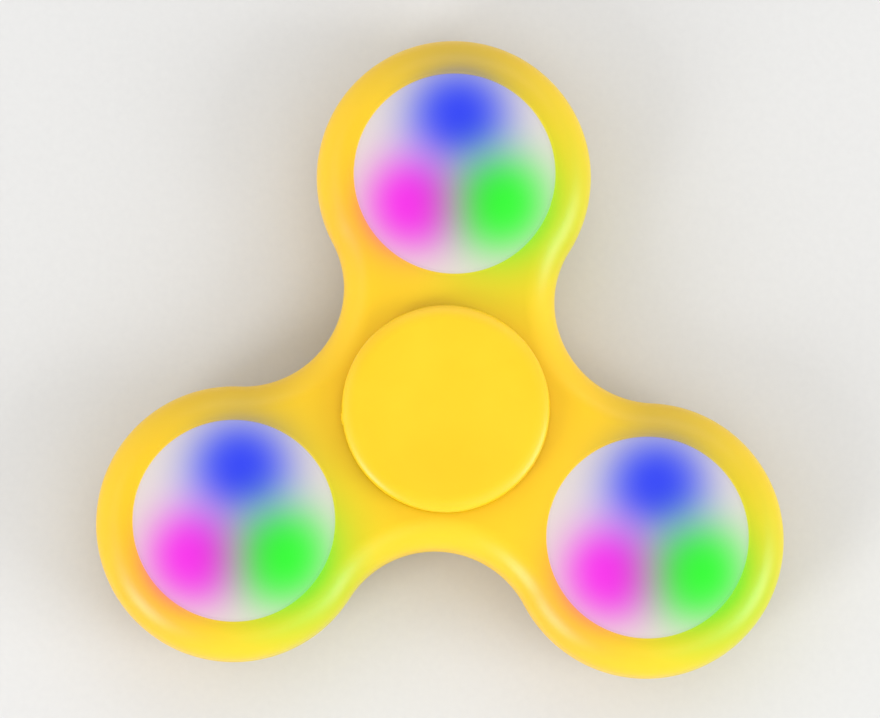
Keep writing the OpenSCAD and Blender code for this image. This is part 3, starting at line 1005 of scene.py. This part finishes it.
def add_divider(shape, centre, angle):
    """A divider that carries the board, and the pin through the board's edge on top of it."""
    wall = [(0, CUP_FLOOR_Z - FOOT_OVERLAP), (0, BOARD_LOW_Z), (-WALL_OVERLAP, BOARD_LOW_Z)]
    sides = corner_path(wall, [DIVIDER_EDGE_R], steps=3)
    rings = sweep(shape, divider_outline(centre, angle), sides)
    shape.faces.append(tuple(rings[-1]))
    shape.faces.append(tuple(reversed(rings[0])))
    top_z = SPIGOT_TOP_Z + PIN_H
    pin_wall = [(PIN_R, BOARD_LOW_Z - FOOT_OVERLAP), (PIN_R, top_z), (0, top_z)]
    pin = corner_path(pin_wall, [PIN_EDGE_R], steps=4)
    towards = Vector((math.cos(math.radians(angle)), math.sin(math.radians(angle))))
    lathe(shape, pin, centre + towards * PIN_REACH, PIN_STEPS)


def build_cup(m, finish):
    """The module's back: a round cup with a button hole, a ring groove, a spigot and three dividers."""
    shape = Shape()
    centre = LOBE_CENTRES[m]
    wall = corner_path(
        [
            (FLOOR_START_R, CUP_FLOOR_Z),
            (BUTTON_HOLE_R, CUP_FLOOR_Z),
            (BUTTON_HOLE_R, BODY_LOW),
            (GROOVE_R, BODY_LOW),
            (GROOVE_R + GROOVE_W / 2, BODY_LOW + GROOVE_W),
            (GROOVE_R + GROOVE_W, BODY_LOW + GROOVE_W),
            (GROOVE_R + 1.5 * GROOVE_W, BODY_LOW),
            (MODULE_R, BODY_LOW),
            (MODULE_R, LENS_SPLIT_Z),
            (CUP_SPIGOT_R, LENS_SPLIT_Z),
            (CUP_SPIGOT_R, LENS_SPLIT_Z + CUP_SPIGOT_H),
            (CUP_INNER_R, LENS_SPLIT_Z + CUP_SPIGOT_H),
            (CUP_INNER_R, CUP_FLOOR_Z),
            (FLOOR_START_R, CUP_FLOOR_Z),
        ],
        [
            SHARP_EDGE_R, BUTTON_HOLE_EDGE_R,
            GROOVE_RIM_R, GROOVE_FLOOR_R, GROOVE_FLOOR_R, GROOVE_RIM_R,
            CUP_EDGE_R, *[SHARP_EDGE_R] * 4, CUP_CORNER_R,
        ],
    )
    sweep(shape, circle_outline(centre, MODULE_STEPS), wall[:-1], closed=True)
    for angle in DIVIDER_ANGLES:
        add_divider(shape, centre, angle)
    return make_piece(f"module_back_{m}", shape, finish, "rotor", f"module_cup_{m}")


def build_button(m, finish):
    """A stepped push button with a slightly hollow face, a flange behind the cup's floor and a stem."""
    shape = Shape()
    flange_z = CUP_FLOOR_Z + BUTTON_FLANGE_T
    path = corner_path(
        [
            (0, BUTTON_LOW_Z + BUTTON_DISH),
            (BUTTON_DISH_R, BUTTON_LOW_Z),
            (BUTTON_R, BUTTON_LOW_Z),
            (BUTTON_R, CUP_FLOOR_Z),
            (BUTTON_FLANGE_R, CUP_FLOOR_Z),
            (BUTTON_FLANGE_R, flange_z),
            (BUTTON_STEM_R, flange_z),
            (BUTTON_STEM_R, BUTTON_TOP_Z),
            (0, BUTTON_TOP_Z),
        ],
        [
            BUTTON_DISH_EDGE_R, BUTTON_EDGE_R, BUTTON_FLANGE_CORNER_R,
            SHARP_EDGE_R, BUTTON_FLANGE_EDGE_R, SOFT_EDGE_R, SOFT_EDGE_R,
        ],
    )
    lathe(shape, path, LOBE_CENTRES[m], BUTTON_STEPS)
    return make_piece(f"mode_button_{m}", shape, finish, f"button_{m}", f"push_button_{m}")


# ---------------------------------------------------------------- carried-over CAD nodes

def paint(node, finish):
    """Gives a CAD node its material. The mesh itself stays as it is."""
    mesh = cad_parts[node].data
    mesh.materials.clear()
    mesh.materials.append(finish)


def paint_inner_parts():
    race = turned_steel_finish("bearing_race_steel", roughness=0.22, lines_per_metre=9000)
    shield = turned_steel_finish("bearing_shield_steel", roughness=0.32, lines_per_metre=5000)
    balls = ball_finish()
    nylon = plain_plastic_finish("cage_nylon", CAGE_NYLON_SEEN, roughness=0.45, scale=80)
    paint("bearing_outer_ring", race)
    paint("bearing_inner_ring", race)
    paint("bearing_shield_top", shield)
    paint("bearing_shield_bottom", shield)
    paint("bearing_cage", nylon)
    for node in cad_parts:
        if node.startswith("bearing_ball_"):
            paint(node, balls)
    board = board_finish()
    resin = resin_finish()
    cells = plated_finish("cell_nickel", CELL_NICKEL, roughness=0.26)
    contacts = plated_finish("contact_bronze", CONTACT_BRONZE, roughness=0.3)
    switch = plain_plastic_finish("switch_black", SWITCH_BLACK_SEEN, roughness=0.4, scale=300)
    plunger = plain_plastic_finish("plunger_white", PLUNGER_WHITE_SEEN, roughness=0.4, scale=300)
    leds = {colour: led_finish(colour) for colour in LED_SEEN}
    for m in MODULES:
        paint(f"circuit_board_{m}", board)
        paint(f"driver_chip_{m}", resin)
        paint(f"button_cells_{m}", cells)
        paint(f"lower_contacts_{m}", contacts)
        paint(f"upper_contacts_{m}", contacts)
        paint(f"switch_body_{m}", switch)
        paint(f"switch_plunger_{m}", plunger)
        for colour, finish in leds.items():
            paint(f"led_{colour}_{m}", finish)


# ---------------------------------------------------------------- studio

CAMERA_ELEVATION = math.radians(83.8)
CAMERA_SIDE_LEAN = math.radians(1.0)
CAMERA_ROLL = math.radians(2.237)
CAMERA_DISTANCE = 1.1
CAMERA_TARGET = Vector((-0.73, 6.04, 7.0)) * MM
CAMERA_LENS = 411.5
SENSOR_WIDTH = 36
# Nearest and farthest distance that the camera sees, in metres
CAMERA_CLIP = (0.01, 10)

# Soft panels: azimuth (0 is +X, 90 is +Y) and elevation in degrees, distance and sides in metres, radiance
LIGHT_PANELS = {
    "key_panel": (312, 50, 1.1, (0.8, 0.7), 0.8),
    "back_panel": (80, 42, 1.1, (1.1, 0.6), 0.9),
    "left_panel": (178, 40, 1.1, (0.9, 0.6), 0.7),
    "left_strip": (221, 24, 1.2, (0.4, 0.72), 8.0),
    "right_strip": (341, 24, 1.2, (0.64, 0.72), 5.4),
}

# The tent round the spinner is brightest near the floor
HORIZON_LIGHT = 1.15
ZENITH_LIGHT = 0.6
TENT_WHITE = (1.0, 0.995, 0.985, 1)

FLOOR_HALF = 1.6


def add_camera():
    data = bpy.data.cameras.new("photo_camera")
    data.lens = CAMERA_LENS
    data.sensor_width = SENSOR_WIDTH
    data.clip_start, data.clip_end = CAMERA_CLIP
    across = math.sin(CAMERA_SIDE_LEAN)
    back = math.cos(CAMERA_ELEVATION)
    height = math.sin(CAMERA_ELEVATION)
    looking = Vector((across, back, -height)).normalized()
    right = looking.cross(Vector((0, 1, 0))).normalized()
    up = right.cross(looking)
    camera_x = math.cos(CAMERA_ROLL) * right + math.sin(CAMERA_ROLL) * up
    camera_y = -math.sin(CAMERA_ROLL) * right + math.cos(CAMERA_ROLL) * up
    rotation = Matrix((camera_x, camera_y, -looking)).transposed()
    camera = bpy.data.objects.new("photo_camera", data)
    camera.matrix_world = Matrix.Translation(CAMERA_TARGET - looking * CAMERA_DISTANCE) @ rotation.to_4x4()
    bpy.context.scene.collection.objects.link(camera)
    bpy.context.scene.camera = camera


def add_panel(name, azimuth, elevation, distance, size, radiance):
    """A rectangular light that faces the spinner and isn't seen itself."""
    data = bpy.data.lights.new(name, "AREA")
    data.shape = "RECTANGLE"
    data.size, data.size_y = size
    data.energy = math.pi * size[0] * size[1] * radiance
    turn, lift = math.radians(azimuth), math.radians(elevation)
    towards = Vector((math.cos(turn) * math.cos(lift), math.sin(turn) * math.cos(lift), math.sin(lift)))
    panel = bpy.data.objects.new(name, data)
    panel.location = towards * distance
    panel.rotation_mode = "QUATERNION"
    panel.rotation_quaternion = towards.to_track_quat("Z", "Y")
    panel.visible_camera = False
    bpy.context.scene.collection.objects.link(panel)


def add_lights():
    for name, settings in LIGHT_PANELS.items():
        add_panel(name, *settings)


def add_world():
    world = bpy.data.worlds.new("studio")
    world.use_nodes = True
    nodes = world.node_tree.nodes
    links = world.node_tree.links
    background = next(n for n in nodes if n.type == "BACKGROUND")
    background.inputs["Color"].default_value = TENT_WHITE
    height = nodes.new("ShaderNodeSeparateXYZ")
    links.new(nodes.new("ShaderNodeTexCoord").outputs["Generated"], height.inputs["Vector"])
    brightness = nodes.new("ShaderNodeMapRange")
    links.new(height.outputs["Z"], brightness.inputs["Value"])
    brightness.inputs["To Min"].default_value = HORIZON_LIGHT
    brightness.inputs["To Max"].default_value = ZENITH_LIGHT
    links.new(brightness.outputs["Result"], background.inputs["Strength"])
    bpy.context.scene.world = world


def add_floor():
    mesh = bpy.data.meshes.new("studio_floor")
    corners = [(FLOOR_HALF * x, FLOOR_HALF * y, 0) for x, y in ((-1, -1), (1, -1), (1, 1), (-1, 1))]
    mesh.from_pydata(corners, [], [(0, 1, 2, 3)])
    finish = Finish("pale_floor")
    paper = finish.noise(scale=1200, detail=4, roughness=0.6)
    finish.set("Base Color", finish.blend(paper, *FLOOR_PAPER))
    finish.set("Roughness", 0.8)
    mesh.materials.append(finish.material)
    floor = bpy.data.objects.new("studio_floor", mesh)
    bpy.context.scene.collection.objects.link(floor)


# ---------------------------------------------------------------- putting it together

def build():
    bpy.context.scene.view_settings.view_transform = "Standard"
    add_camera()
    add_world()
    add_lights()
    add_floor()
    build_body(yellow_body_finish())
    caps = yellow_cap_finish()
    build_cap("finger_pad_top", "finger_cap_top", False, caps)
    build_cap("finger_pad_bottom", "finger_cap_bottom", True, caps)
    lens = lens_finish()
    cup = cup_finish()
    button = plain_plastic_finish("button_plastic_grey", BUTTON_GREY_SEEN, roughness=0.35, scale=300)
    for m in MODULES:
        build_lens(m, lens)
        build_cup(m, cup)
        build_button(m, button)
    paint_inner_parts()


build()
